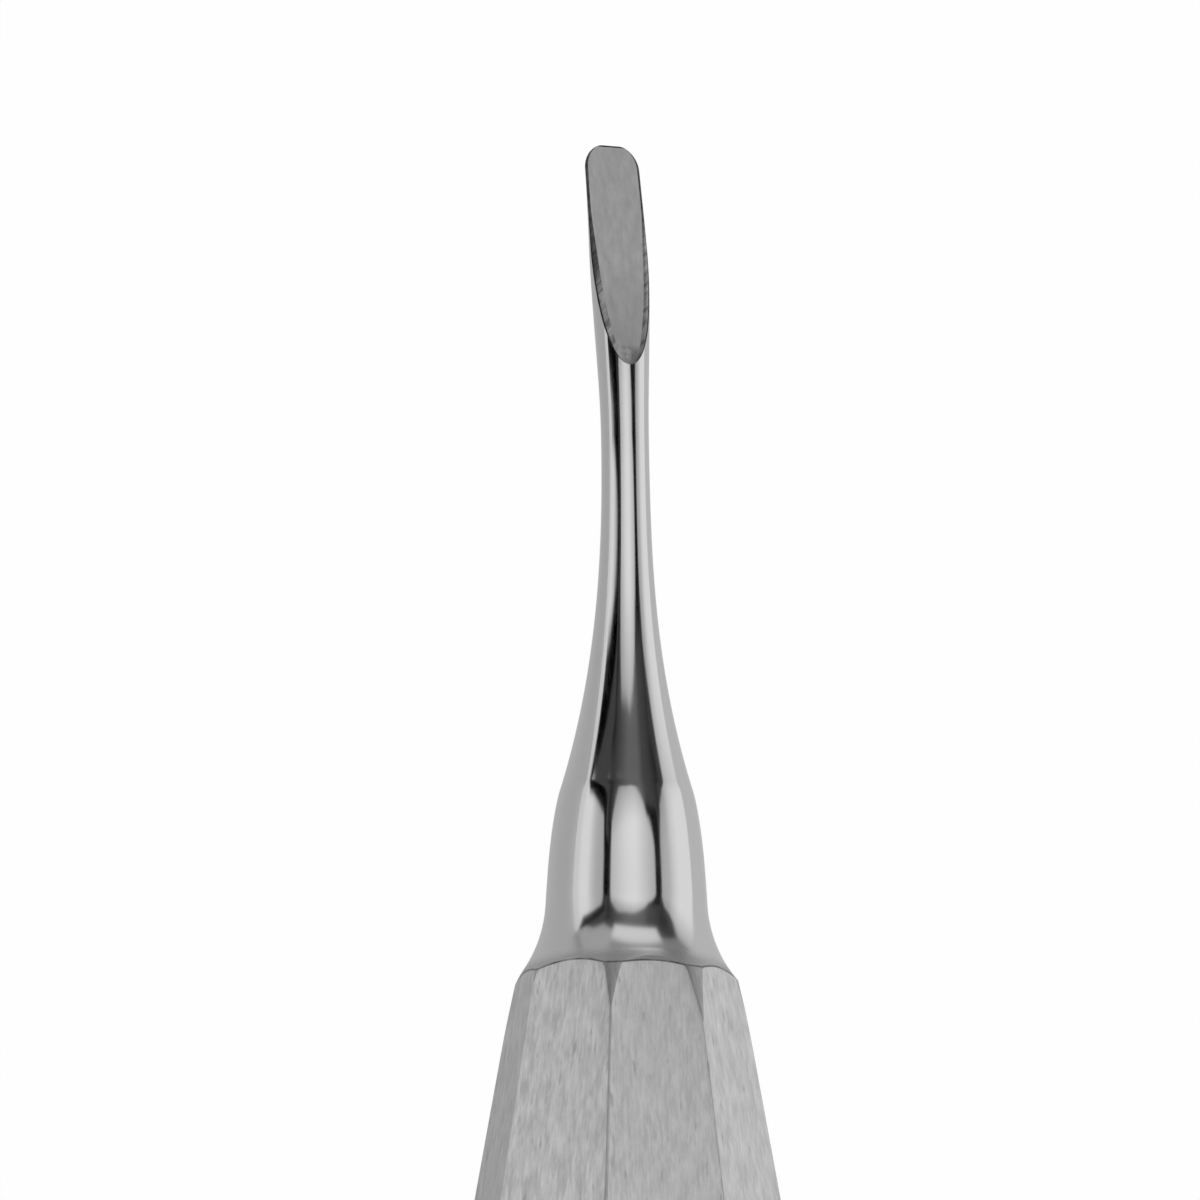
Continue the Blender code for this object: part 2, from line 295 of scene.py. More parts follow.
# %% [markdown]
# The shank also bends back, so that the blade comes down beside the tooth at a slant. A bone or a Curve
# modifier could bend a straight mesh. Here the centre line is a formula too, and each section of the
# steel stands square to it, so the bend is exact and nothing is pinched.

# %% Bend of the shank
BEND_START = 20.0
BEND_OFFSET = 3.3
BEND_POWER = 2.6


def bend(d):
    """How far back the centre line is at d, a power of the way from the bend's start, and its slope."""
    length = TIP_REACH - BEND_START
    t = np.clip(d - BEND_START, 0, None) / length
    return BEND_OFFSET * t**BEND_POWER, BEND_OFFSET * BEND_POWER * t ** (BEND_POWER - 1) / length


def on_section(d, across, up):
    """Points across a section and up from the centre line, with the section square to that line."""
    offset, slope = bend(d)
    along = np.hypot(1, slope)
    return np.stack(np.broadcast_arrays(across, up / along - offset, d + up * slope / along), axis=-1)


print("the tip points", round(math.degrees(math.atan(bend(TIP_REACH)[1])), 1), "degrees back")

# %% [markdown]
# A wheel has ground the face from the heel to the tip, so the face is hollow by a hair. A Boolean cut
# with a large cylinder would do the same, but it leaves long thin triangles that a bright surface shows.
# So the cut is worked out: how far above the centre line the wheel reaches at each place, square to that
# line.

# %% Wheel that grinds the face
BLADE_LENGTH = 13.4
HEEL = TIP_REACH - BLADE_LENGTH
WHEEL_RADIUS = 400.0
TIP_FACE_HEIGHT = 0.18


def wheel_centre():
    """Centre (n, d) of the wheel: over the middle of the line from heel to tip, square to it."""
    heel_back, heel_slope = bend(np.float64(HEEL))
    tip_back, tip_slope = bend(np.float64(TIP_REACH))
    heel_along = math.hypot(1, heel_slope)
    tip_along = math.hypot(1, tip_slope)
    radius = turned_radius(np.float64(HEEL))
    heel = np.array([radius / heel_along - heel_back, HEEL + radius * heel_slope / heel_along])
    tip_n = TIP_FACE_HEIGHT / tip_along - tip_back
    tip_d = TIP_REACH + TIP_FACE_HEIGHT * tip_slope / tip_along
    tip = np.array([tip_n, tip_d])
    chord = tip - heel
    length = np.hypot(*chord)
    off_face = np.array([chord[1], -chord[0]]) / length
    return (heel + tip) / 2 + off_face * math.sqrt(WHEEL_RADIUS**2 - (length / 2) ** 2)


def face_height(d):
    """How far above the centre line the wheel cuts at d: where the line's normal meets the wheel."""
    offset, slope = bend(d)
    along = np.hypot(1, slope)
    centre = wheel_centre()
    to_n, to_d = centre[0] + offset, centre[1] - d
    reach = (to_n + to_d * slope) / along
    return reach - np.sqrt(WHEEL_RADIUS**2 - to_n**2 - to_d**2 + reach**2)


face_cuts = face_height(np.array([HEEL, (HEEL + TIP_REACH) / 2, TIP_REACH]))
print("at heel, middle and tip the face lies", np.round(face_cuts, 2), "mm over the line")

# %% [markdown]
# The height of the face gives the angle at which the round back ends on each side. Between back and face
# lies a narrow broken edge. It is widest in the middle of the blade, where the grinder took the burr off
# twice. Near the tip the two corners are rounded off, and the back thins until the blade ends nearly
# sharp.

# %% Section of the blade
TIP_BACK_DEPTH = 0.22
EDGE_BREAK = 0.13
WIDE_BREAK = 0.30
WIDE_BREAK_PLACE = 37.6
WIDE_BREAK_REACH = 3.6


def blade_section(d):
    """Radius, back's depth, face's height, angle where the round ends, half the face's width."""
    radius = turned_radius(d)
    back = radius + (TIP_BACK_DEPTH - radius) * smooth_step((d - HEEL) / BLADE_LENGTH)
    ground = np.where(d > HEEL, face_height(d), radius)
    edge = np.arccos(np.clip(ground / radius, -1, 1))
    edge[d <= HEEL] = 0
    half_width = radius * np.sin(edge)
    wide = np.exp(-(((d - WIDE_BREAK_PLACE) / WIDE_BREAK_REACH) ** 4))
    broken = np.minimum(EDGE_BREAK + (WIDE_BREAK - EDGE_BREAK) * wide, half_width / 4)
    return radius, back, ground, edge + broken / (2 * radius), half_width - broken


half_widths = blade_section(np.array([HEEL + 1, WIDE_BREAK_PLACE, TIP_REACH]))[-1]
print("after the heel, in the middle and at the tip the face is", np.round(2 * half_widths, 2), "mm wide")

# %% Corners and end of the tip
TIP_CORNER = 1.22
CORNER_REACH = 1.45
TIP_ROUNDING = 0.18
TIP_THINNING = 0.96


def corner_share(d, radius):
    """Share of the width that is left near the tip by its corners, each a quarter ellipse."""
    inside = np.maximum(1 - (TIP_REACH - d) / CORNER_REACH, 0)
    return (radius - TIP_CORNER + TIP_CORNER * np.sqrt(np.maximum(1 - inside**2, 0))) / radius


def thin_to_tip(d, up, middle):
    """Brings face and back together on a quarter circle over the last hair before the tip."""
    t = np.clip(1 - (TIP_REACH - d) / TIP_ROUNDING, 0, 1)
    return middle + (up - middle) * np.sqrt(1 - TIP_THINNING * t**2)


flat_end = 2 * TIP_RADIUS * float(corner_share(TIP_REACH, TIP_RADIUS))
print("the straight end of the tip is", round(flat_end, 2), "mm wide")

# %% [markdown]
# The working end is four kinds of grid welded at their borders. The round grid goes from the seam to the
# tip: a full circle on the shank, and open over the ground face on the blade. The face grid starts as a
# single point at the heel and widens as the round grid opens. Strips on each side join them, and a spigot
# closes the lower end. The rows crowd together at the heel, where the face widens fastest, and at the
# collar's upper edge.

# %% Rows along the working end
SEAM_HEIGHT = 1.0
SEAM_CHAMFER = 0.002
COLLAR_EDGE_GAP = 0.12
FLARE_ROWS = 40
COLLAR_ROWS = 36
TRUMPET_ROWS = 150
BLADE_ROWS = 110
CORNER_ROWS = 26
END_ROWS = 7


def shank_rows():
    """Places along the axis from the seam to the heel, with a gap that breaks the collar's upper edge."""
    flare = np.linspace(SEAM_HEIGHT + SEAM_CHAMFER, COLLAR_WAIST_HEIGHT, FLARE_ROWS)
    collar = np.linspace(COLLAR_WAIST_HEIGHT, COLLAR_LENGTH - COLLAR_EDGE_GAP, COLLAR_ROWS)[1:]
    trumpet = np.linspace(COLLAR_LENGTH + COLLAR_EDGE_GAP, HEEL, TRUMPET_ROWS)
    return np.concatenate([flare, collar, trumpet])


def blade_rows():
    """Places from heel to tip: as t squared after the heel, as sines round the corners and the end."""
    corner = TIP_REACH - CORNER_REACH
    run = HEEL + (corner - HEEL) * np.linspace(0, 1, BLADE_ROWS) ** 2
    turn = corner + (CORNER_REACH - TIP_ROUNDING) * np.sin(np.linspace(0, math.pi / 2, CORNER_ROWS))[1:]
    end = TIP_REACH - TIP_ROUNDING + TIP_ROUNDING * np.sin(np.linspace(0, math.pi / 2, END_ROWS))[1:]
    return np.concatenate([run, turn, end])


shank = shank_rows()
blade = blade_rows()
print(len(shank) + len(blade), "rows from the seam to the tip")

# %% Pattern places and closed ends
def spread(points, u, v):
    """Pattern places for a grid: u round it and v along it, in millimetres."""
    return np.stack(np.broadcast_arrays(u, v, points[..., 0])[:2], axis=-1)


def close(grid, point):
    """Adds a last row that gathers in one point, so that the grid ends closed."""
    uv, points = grid
    last = np.broadcast_to(point, (1, *points[-1].shape))
    return np.concatenate([uv, uv[-1:]]), np.concatenate([points, last])


tip_point = on_section(TIP_REACH, 0, (TIP_FACE_HEIGHT - TIP_BACK_DEPTH) / 2)
print("the grids of the blade close in the point", np.round(tip_point, 2))

# %% Round grid of shank and blade
ROUND_COLUMNS = 192


def round_grid(d, columns):
    """Angle a goes round from edge to edge: across r sin a, up r or the back's depth times cos a."""
    radius, back, ground, edge, _ = blade_section(d)
    turn = np.linspace(0, 1, columns + 1)[None, :]
    angle = edge[:, None] + (2 * math.pi - 2 * edge[:, None]) * turn
    across = (radius * corner_share(d, radius))[:, None] * np.sin(angle)
    up = np.where(np.cos(angle) > 0, radius[:, None], back[:, None]) * np.cos(angle)
    up = thin_to_tip(d[:, None], up, ((ground - back) / 2)[:, None])
    points = on_section(d[:, None], across, up)
    return spread(points, 2 * angle, d[:, None]), points


round_side = close(round_grid(np.concatenate([shank, blade[1:]]), ROUND_COLUMNS), tip_point)
print("the round grid has", round_side[1].shape[:2], "rows and columns of points")

# %% Ground face, as far as the end and round it
FACE_COLUMNS = 40


def face_grid(d, columns):
    """Straight across the section at the face's height, as wide as the broken edges leave it."""
    radius, back, ground, _, flat = blade_section(d)
    share = corner_share(d, radius)
    across = (flat * share)[:, None] * np.linspace(-1, 1, columns + 1)[None, :]
    up = thin_to_tip(d, ground, (ground - back) / 2)[:, None] + 0 * across
    points = on_section(d[:, None], across, up)
    return spread(points, across, d[:, None]), points


face = face_grid(blade[: 1 - END_ROWS], FACE_COLUMNS)
face_end = close(face_grid(blade[-END_ROWS:], FACE_COLUMNS), tip_point)
print("the face has", face[1].shape[0], "rows, and its rounded end", face_end[1].shape[0])

# %% [markdown]
# A broken edge is a soft curve from the face to the round back. A Bevel modifier would round it evenly,
# but this edge widens and narrows along the blade. So each row is a curve of three points. The scratches
# that the stone left lean across the edge, and for that only the pattern places are slanted.

# %% Broken edges
STRIP_COLUMNS = 3
OUTLINE_START = 0.72
SCRATCH_LEAN = 1.1


def strip_grid(d, side, first, last, columns):
    """From share first to last of a curve of three points, the middle one half way to the corner."""
    radius, back, ground, edge, flat = blade_section(d)
    share = corner_share(d, radius)
    corner = np.stack([radius * np.sin(np.arccos(np.clip(ground / radius, -1, 1))), ground], axis=-1)
    inner = np.stack([flat, ground], axis=-1)
    depth = np.where(np.cos(edge) > 0, radius, back)
    outer = np.stack([radius * np.sin(edge), depth * np.cos(edge)], axis=-1)
    middle = corner / 2 + (inner + outer) / 4
    t = np.linspace(first, last, columns + 1)[None, :, None]
    curve = (1 - t) ** 2 * inner[:, None] + 2 * t * (1 - t) * middle[:, None] + t**2 * outer[:, None]
    across = side * curve[..., 0] * share[:, None]
    up = thin_to_tip(d[:, None], curve[..., 1], ((ground - back) / 2)[:, None])
    points = on_section(d[:, None], across, up)
    return spread(points, across, d[:, None] - SCRATCH_LEAN * across), points


widest = strip_grid(np.array([WIDE_BREAK_PLACE]), 1, 0, 1, STRIP_COLUMNS)[1][0]
widest_break = float(np.linalg.norm(widest[-1] - widest[0]))
print("the broken edge is", round(widest_break, 2), "mm wide at its widest place")

# %% [markdown]
# The spigot sits in the handle's socket and can't be seen. It is there because the piece has to be a
# closed solid, and because the real one centres the weld. It is a plain turned shape: a radius for each
# of six places.

# %% Spigot
SOCKET_DEPTH = 6.0
SPIGOT_RADIUS = 3.9
SPIGOT_REACH = 1.5
SPIGOT_CHAMFER = 0.5


def spigot_grid(columns):
    """A cylinder with a bevelled end: radius times sine and cosine of the angle, out to the seam."""
    seam = float(turned_radius(np.float64(SEAM_HEIGHT + SEAM_CHAMFER)))
    end = -SOCKET_DEPTH - SPIGOT_REACH
    bevelled = SPIGOT_RADIUS - SPIGOT_CHAMFER
    radius = np.array([0, bevelled, SPIGOT_RADIUS, SPIGOT_RADIUS, seam - SEAM_CHAMFER, seam])
    d = np.array([end, end, end + SPIGOT_CHAMFER, SEAM_HEIGHT, SEAM_HEIGHT, SEAM_HEIGHT + SEAM_CHAMFER])
    angle = np.linspace(0, 2 * math.pi, columns + 1)[None, :]
    across, up = radius[:, None] * np.sin(angle), radius[:, None] * np.cos(angle)
    points = np.stack(np.broadcast_arrays(across, up, d[:, None]), -1)
    return spread(points, 2 * angle, d[:, None]), points


spigot = spigot_grid(ROUND_COLUMNS)
print("the spigot reaches", SOCKET_DEPTH + SPIGOT_REACH, "mm into the handle")

# %% [markdown]
# Steel shows its finish more than its colour. Each finish here is one Principled BSDF in metal grey, and
# small chains of nodes give it what the hand of the polisher left. The working end is polished to a
# mirror: Metallic 1 and a low Roughness. All else in it comes from what stands round the instrument.

# %% Mirror steel
def start_metal(name, grey, roughness):
    """A metal of one grey; returns the material, its nodes' tree and its shader."""
    material = bpy.data.materials.new(name)
    material.use_nodes = True
    tree = material.node_tree
    shader = tree.nodes["Principled BSDF"]
    shader.inputs["Base Color"].default_value = (grey, grey, grey, 1)
    shader.inputs["Metallic"].default_value = 1
    shader.inputs["Roughness"].default_value = roughness
    return material, tree, shader


polished, mirror_tree, mirror_shader = start_metal("mirror_polish", grey=0.7, roughness=0.08)
print("made", polished.name)

# %% [markdown]
# No mirror is perfect. A faint haze changes its Roughness from place to place. A Noise Texture makes it,
# and a Map Range node brings the noise to the small numbers that are wanted. The noise reads the pattern
# map, which is measured in millimetres along the steel, so a mark is as long on the blade as on the
# handle.

# %% Haze on the mirror
def pattern_map(tree):
    """The pattern map, for a node to read."""
    place = tree.nodes.new("ShaderNodeUVMap")
    place.uv_map = PATTERN
    return place.outputs[0]


def noise(tree, across, along, detail=2.0, roughness=0.5):
    """Noise on the pattern map, with so many features to the millimetre across and along the steel."""
    scale = tree.nodes.new("ShaderNodeMapping")
    scale.inputs["Scale"].default_value = (across, along, 1)
    texture = tree.nodes.new("ShaderNodeTexNoise")
    texture.inputs["Scale"].default_value = 1
    texture.inputs["Detail"].default_value = detail
    texture.inputs["Roughness"].default_value = roughness
    tree.links.new(pattern_map(tree), scale.inputs[0])
    tree.links.new(scale.outputs[0], texture.inputs["Vector"])
    return texture.outputs[0]


def ranged(tree, value, low, high, start=0.3, end=0.7):
    """Changes a value that runs from start to end into one that runs from low to high."""
    node = tree.nodes.new("ShaderNodeMapRange")
    tree.links.new(value, node.inputs["Value"])
    for name, number in (("From Min", start), ("From Max", end), ("To Min", low), ("To Max", high)):
        node.inputs[name].default_value = number
    return node.outputs[0]


mirror_haze = ranged(mirror_tree, noise(mirror_tree, across=1.2, along=0.5, detail=3), low=0.0, high=0.04)
print("the haze takes", len(mirror_tree.nodes) - 2, "nodes")

# %% [markdown]
# The polishing wheel reaches badly into the flare, so the mirror is duller there. Its Roughness falls
# with the distance from the seam, and the haze is added to that. The wheel also leaves waves that only a
# long reflection shows: a Bump node of a few thousandths of a millimetre.

# %% Duller flare
FLARE_DULL_FROM = 1.5
FLARE_DULL_TO = 4.5


def pattern_along(tree):
    """Millimetres along the steel, from the pattern map."""
    parts = tree.nodes.new("ShaderNodeSeparateXYZ")
    tree.links.new(pattern_map(tree), parts.inputs[0])
    return parts.outputs["Y"]


def maths(tree, operation, *values):
    """One Math node; each value is a number or another node's output."""
    node = tree.nodes.new("ShaderNodeMath")
    node.operation = operation
    for socket, value in zip(node.inputs, values):
        if isinstance(value, (int, float)):
            socket.default_value = value
        else:
            tree.links.new(value, socket)
    return node.outputs[0]


dull_flare = ranged(mirror_tree, pattern_along(mirror_tree), 0.14, 0.07, FLARE_DULL_FROM, FLARE_DULL_TO)
mirror_roughness = maths(mirror_tree, "ADD", mirror_haze, dull_flare)
mirror_tree.links.new(mirror_roughness, mirror_shader.inputs["Roughness"])
print("the mirror is dull up to", FLARE_DULL_TO, "mm from the corners' circle")

# %% Waves of the polishing wheel
def emboss(tree, shader, value, height, strength=1.0):
    """Bumps the surface by a value times a height in millimetres."""
    node = tree.nodes.new("ShaderNodeBump")
    node.inputs["Strength"].default_value = strength
    node.inputs["Distance"].default_value = height * MM
    tree.links.new(value, node.inputs["Height"])
    tree.links.new(node.outputs[0], shader.inputs["Normal"])


waves = noise(mirror_tree, across=0.35, along=0.12, detail=1)
emboss(mirror_tree, mirror_shader, waves, height=0.004)
print(polished.name, "has", len(mirror_tree.nodes), "nodes")

# %% [markdown]
# The ground face is matt grey: fine streaks run along the blade, as the wheel turned. It is darker
# towards the heel, which is painted shade, and right at the heel it has darker blotches. All three are
# greys that are multiplied, as filters are laid over each other.

# %% Ground steel
def grey_from(tree, value):
    """A grey colour from a number."""
    node = tree.nodes.new("ShaderNodeCombineColor")
    for socket in node.inputs:
        tree.links.new(value, socket)
    return node.outputs[0]


def ground_steel():
    """Grey of the distance from the heel, which is painted shade, times streaks, times blotches at the
    heel.
    """
    material, tree, shader = start_metal("ground_face", grey=0.8, roughness=0.46)
    grain = ranged(tree, noise(tree, across=2.5, along=0.8, detail=4, roughness=0.6), 0.88, 1.09)
    # Painted shade: the face is darker towards the heel.
    heel = ranged(tree, pattern_along(tree), 0.59, 0.72, start=HEEL + 1.5, end=HEEL + 6)
    heel_blotches = ranged(tree, noise(tree, across=1.6, along=1.2, detail=2), 0.55, 1.0, start=0.44, end=0.56)
    clean = ranged(tree, pattern_along(tree), 0.0, 1.0, start=HEEL + 0.2, end=HEEL + 1.2)
    heel_blotches = maths(tree, "MAXIMUM", heel_blotches, clean)
    value = maths(tree, "MULTIPLY", maths(tree, "MULTIPLY", grain, heel), heel_blotches)
    tree.links.new(grey_from(tree, value), shader.inputs["Base Color"])
    return material


ground = ground_steel()
print("made", ground.name, "with", len(ground.node_tree.nodes), "nodes")

# %% [markdown]
# The broken edge is duller and darker than the face, with scratches from the stone, and nearly black
# towards the tip, where it is narrow: that darkness is painted shade. Its outer rim and the end of the
# tip are nearly black, which is painted shade too. The same dark steel, a little lighter, later draws a
# line of painted shade round each scallop of the handle.

# %% Broken edge and dark lines
def edge_steel():
    """Grey of the scratches, times a grey that falls towards the tip."""
    material, tree, shader = start_metal("broken_edge", grey=0.4, roughness=0.4)
    scratches = noise(tree, across=0.8, along=2.2, detail=3, roughness=0.6)
    scratches = ranged(tree, scratches, 0.26, 0.6, start=0.38, end=0.58)
    # Painted shade: the edge falls nearly black towards the tip.
    towards_tip = ranged(tree, pattern_along(tree), 1.0, 0.3, start=HEEL + 5.5, end=HEEL + 7.5)
    value = maths(tree, "MULTIPLY", scratches, towards_tip)
    tree.links.new(grey_from(tree, value), shader.inputs["Base Color"])
    return material


def line_steel(name, dark, light):
    """Painted shade between dark and light, for dark rims and lines where two finishes meet."""
    material, tree, shader = start_metal(name, grey=(dark + light) / 2, roughness=0.4)
    value = ranged(tree, noise(tree, across=2, along=2, detail=3, roughness=0.6), dark, light)
    tree.links.new(grey_from(tree, value), shader.inputs["Base Color"])
    return material


edge = edge_steel()
# Painted shade: the rim of the broken edge and the end of the tip are nearly black.
painted_shade_rim = line_steel("painted_shade_tip_rim", dark=0.03, light=0.14)
print("made", edge.name, "and", painted_shade_rim.name)

# %% [markdown]
# Now the grids and the finishes come together. A mesh can hold several materials, and each face says by
# number which of them it wears. So one closed piece has four finishes, and no seam between them has to be
# hidden.

# %% Build the working end
POLISHED, GROUND, EDGE, END = range(4)

grids = [(spigot, POLISHED), (round_side, POLISHED), (face, GROUND), (face_end, END)]
for side in (-1, 1):
    inner_strip = strip_grid(blade, side, 0, OUTLINE_START, STRIP_COLUMNS)
    outer_strip = strip_grid(blade, side, OUTLINE_START, 1, STRIP_COLUMNS)
    grids += [(close(inner_strip, tip_point), EDGE), (close(outer_strip, tip_point), END)]
working_finishes = [polished, ground, edge, painted_shade_rim]
make_piece("forged_working_end", grids, working_finishes, "working_end")

# %% [markdown]
# The handle starts as a hollow eight-sided body, thick at the shoulder. Each side is its own set of
# grids, so that its brushed lines run straight along it. A side is a straight line seen from the end, so
# its radius is its distance over the cosine of the angle, and a small arc takes the edge off each corner.

# %% One flat side
SIDE_COLUMNS = 28
CORNER_ROUNDING = 0.14


def side_columns():
    """Angles over one side from corner to corner, as a sine, so that they crowd at the round corners."""
    return HALF_SIDE * np.sin(np.linspace(-math.pi / 2, math.pi / 2, SIDE_COLUMNS + 1))


def flat_radius(across_corner, angle):
    """Radius at an angle from the side's middle: distance over cosine, then an arc at the corner."""
    flat = across_corner * math.cos(HALF_SIDE)
    hub = (flat - CORNER_ROUNDING) / math.cos(HALF_SIDE)
    from_corner = HALF_SIDE - np.abs(angle)
    under = np.maximum(CORNER_ROUNDING**2 - (hub * np.sin(from_corner)) ** 2, 0)
    rounded = hub * np.cos(from_corner) + np.sqrt(under)
    on_arc = hub * np.sin(from_corner) < CORNER_ROUNDING * math.sin(HALF_SIDE)
    return np.where(on_arc, rounded, flat / np.cos(angle))


side_radii = flat_radius(FRONT_CORNER_RADIUS, np.array([0, HALF_SIDE]))
print("middle and corner of a side at the front:", np.round(side_radii, 2), "mm from the axis")

# %% [markdown]
# On the lathe the handle's front end is flared into the collar, and the same tool dresses the corners
# behind it. Where the turned cone is smaller than the eight sides, it shows as a sliver on each corner,
# and the flats begin with a scallop. A Boolean could cut that too. Taking the smaller of the two radii
# gives the same shape, and a hyperbola rounds the crease. The hand leans on the tool here and there, so
# the cone is cut unevenly.

# %% What the lathe leaves
DRESSING_SLOPE = 0.24
CREASE_ROUNDING = 0.03
CREASE_FADE = 0.3
# Depth of the cut in millimetres at each flat and each corner in turn, round the handle. The depths
# were changed until the scallops lay where the photograph has them.
TURNED_CUTS = (
    (0.06, 0.05),
    (0.0, -0.02),
    (0.0, 0.04),
    (0.03, 0.03),
    (0.03, 0.04),
    (0.0, -0.02),
    (-0.05, -0.1),
    (-0.02, 0.013),
)


def envelope_radius(depth, turned_to):
    """Radius of the flare, and behind it of a cone, less the cut at that angle, which fades in."""
    places = HALF_SIDE * np.arange(2 * SIDES)
    cuts = np.interp(turned_to, places, np.ravel(TURNED_CUTS), period=2 * math.pi)
    cone = FLARE_RADIUS + DRESSING_SLOPE * np.maximum(depth, 0)
    turned = np.where(depth < 0, turned_radius(np.maximum(-depth, 0)), cone)
    return turned - cuts * smooth_step(1 + depth / SEAM_HEIGHT)


def handle_radius(depth, angle, turned_to):
    """The smaller of turned and flat radius: their mean less the root of half their gap squared."""
    turned = envelope_radius(depth, turned_to)
    side = flat_radius(corner_radius(depth), angle)
    rounding = CREASE_ROUNDING * smooth_step((depth + SEAM_HEIGHT) / CREASE_FADE)
    return (turned + side) / 2 - np.sqrt(((turned - side) / 2) ** 2 + rounding**2)


cone_at_start = float(envelope_radius(0.0, 0.0))
print("the cone starts with a radius of", round(cone_at_start, 2), "mm")

# %% [markdown]
# The finish changes exactly where cone and flats are equal. That place differs at each angle, and no
# simple formula gives it, so it is found by halving: 40 times, for all columns at once. The far end is a
# dome, and where the flats run into it is found in the same way.

# %% Halving, and the crease at the front
CLOSED_SEAM = 0.002
HALVINGS = 40


def halve(function, low, high):
    """Where a rising function of arrays is nought between low and high."""
    for _ in range(HALVINGS):
        middle = (low + high) / 2
        below = function(middle) < 0
        low, high = np.where(below, middle, low), np.where(below, high, middle)
    return (low + high) / 2


def crease_depths(turned_to):
    """Depth at each column where the cone meets the flat: cone less flat is nought."""
    angle = side_columns()
    seam = np.full(len(angle), CLOSED_SEAM - SEAM_HEIGHT)
    taper_end = np.full(len(angle), FRONT_TAPER_LENGTH)

    def cone_less_flat(depth):
        return envelope_radius(depth, turned_to) - flat_radius(corner_radius(depth), angle)

    return halve(cone_less_flat, seam, taper_end)


scallop = crease_depths(side_columns())
scallop_ends = np.round([scallop.min(), scallop.max()], 2)
print("depth of the first scallop in its middle and at the corner:", scallop_ends, "mm")

# %% Dome, and the crease at the far end
HANDLE_LENGTH = 104.0
DOME_LENGTH = 12.0
DOME_START = HANDLE_LENGTH - DOME_LENGTH
DOME_OVERSIZE = 0.4
BEFORE_END = 0.01


def dome_radius(depth):
    """Radius of the far end's quarter ellipse."""
    t = np.clip((depth - DOME_START) / DOME_LENGTH, 0, 1)
    return (corner_radius(DOME_START) + DOME_OVERSIZE) * np.sqrt(1 - t**2)


def far_crease_depths():
    """Depth at each column where the flat meets the dome: flat less dome is nought."""
    angle = side_columns()
    start = np.full(len(angle), DOME_START)
    end = np.full(len(angle), HANDLE_LENGTH - BEFORE_END)

    def flat_less_dome(depth):
        return flat_radius(corner_radius(depth), angle) - dome_radius(depth)

    return halve(flat_less_dome, start, end)


far_ends = np.round([far_crease_depths().min(), far_crease_depths().max()], 2)
print("the flats run into the dome at depths from", far_ends[0], "to", far_ends[1], "mm")

# %% [markdown]
# The rows follow those meeting lines, so a border between two finishes is a row of the grid and stays
# crisp. From the seam on there are the bright flare, a thin dark line of painted shade, the darker sliver
# on each corner, and the flat, which is brushed up past the start of its scallop.

# %% Rows of a side's front
POLISHED_SHARES = (0.36, 0.53, 0.45, 0.4, 0.45, 0.4, 0.45, 0.6)
LINE_WIDTH = 0.1
FLARE_TO_CREASE_ROWS = 26
CREASE_TO_LINE_ROWS = 8
LINE_ROWS = 4
SLIVER_ROWS = 26


def rows_between(first, last, count, power=1.0):
    """Rows of depths from one border line to the next, crowded towards the first by a power."""
    t = np.linspace(0, 1, count)[:, None] ** power
    return first + (last - first) * t


def front_rows(side, crease):
    """Rows of flare, its end, dark line and sliver; the satin starts at a share of the crease's depth."""
    seam = np.full(len(crease), CLOSED_SEAM - SEAM_HEIGHT)
    satin = np.where(crease < 0, POLISHED_SHARES[side] * crease, crease)
    line = np.minimum(satin, 0)
    flare = rows_between(seam, np.minimum(crease, line - LINE_WIDTH), FLARE_TO_CREASE_ROWS)
    end = rows_between(flare[-1], line - LINE_WIDTH, CREASE_TO_LINE_ROWS)
    painted_shade_line = rows_between(end[-1], line, LINE_ROWS)
    return flare, end, painted_shade_line, rows_between(line, satin, SLIVER_ROWS)


print("the front of a side has", sum(len(rows) for rows in front_rows(0, scallop)), "rows")

# %% Rows of its flat and of the dome
NEAR_REACH = 4.0
NEAR_ROWS = 30
NEAR_CROWDING = 1.6
FAR_ROWS = 90
DOME_ROWS = 30


def flat_rows(satin, far_crease):
    """Rows of the flat: crowded over its first millimetres, then even as far as the dome."""
    near = rows_between(satin, np.maximum(satin, 0) + NEAR_REACH, NEAR_ROWS, NEAR_CROWDING)
    return np.concatenate([near, rows_between(near[-1], far_crease, FAR_ROWS)[1:]])


def dome_rows(far_crease):
    """Rows of the dome: its length times the sine of even steps up to a right angle."""
    around = np.arcsin(np.clip((far_crease - DOME_START) / DOME_LENGTH, 0, 1))
    return DOME_START + DOME_LENGTH * np.sin(rows_between(around, math.pi / 2, DOME_ROWS))


print("a flat has", len(flat_rows(scallop, far_crease_depths())), "rows of", SIDE_COLUMNS + 1, "points")

# %% One side as grids
SIDE_PATTERN = 20.0


def on_handle(depth, radius, angle):
    """Points at a depth, a radius r and an angle a from n towards x: r sin a, r cos a, less depth."""
    return np.stack(np.broadcast_arrays(radius * np.sin(angle), radius * np.cos(angle), -depth), axis=-1)


def outside_grid(side, depth, radius, columns=slice(None)):
    """Some columns of one side, turned to the side's place, on the side's own stretch of the pattern."""
    angle = side_columns()[None, columns] + 0 * depth[:, columns]
    radius = radius[:, columns] + 0 * angle
    points = on_handle(depth[:, columns], radius, angle + side * 2 * HALF_SIDE)
    return spread(points, radius * np.sin(angle) + SIDE_PATTERN * side, depth[:, columns]), points


print("neighbouring sides lie", SIDE_PATTERN, "mm apart on the pattern map")

# %% [markdown]
# The handle is a drawn shell, so each side also has an inside. It can't be seen, but a closed shell with
# an even wall is a true solid, and its volume gives the true weight. The front of it is the socket for
# the spigot.

# %% Inside of one side
WALL = 1.2
SOCKET_RADIUS = 4.0
INSIDE_ROWS = 12
INSIDE_DOME_ROWS = 9


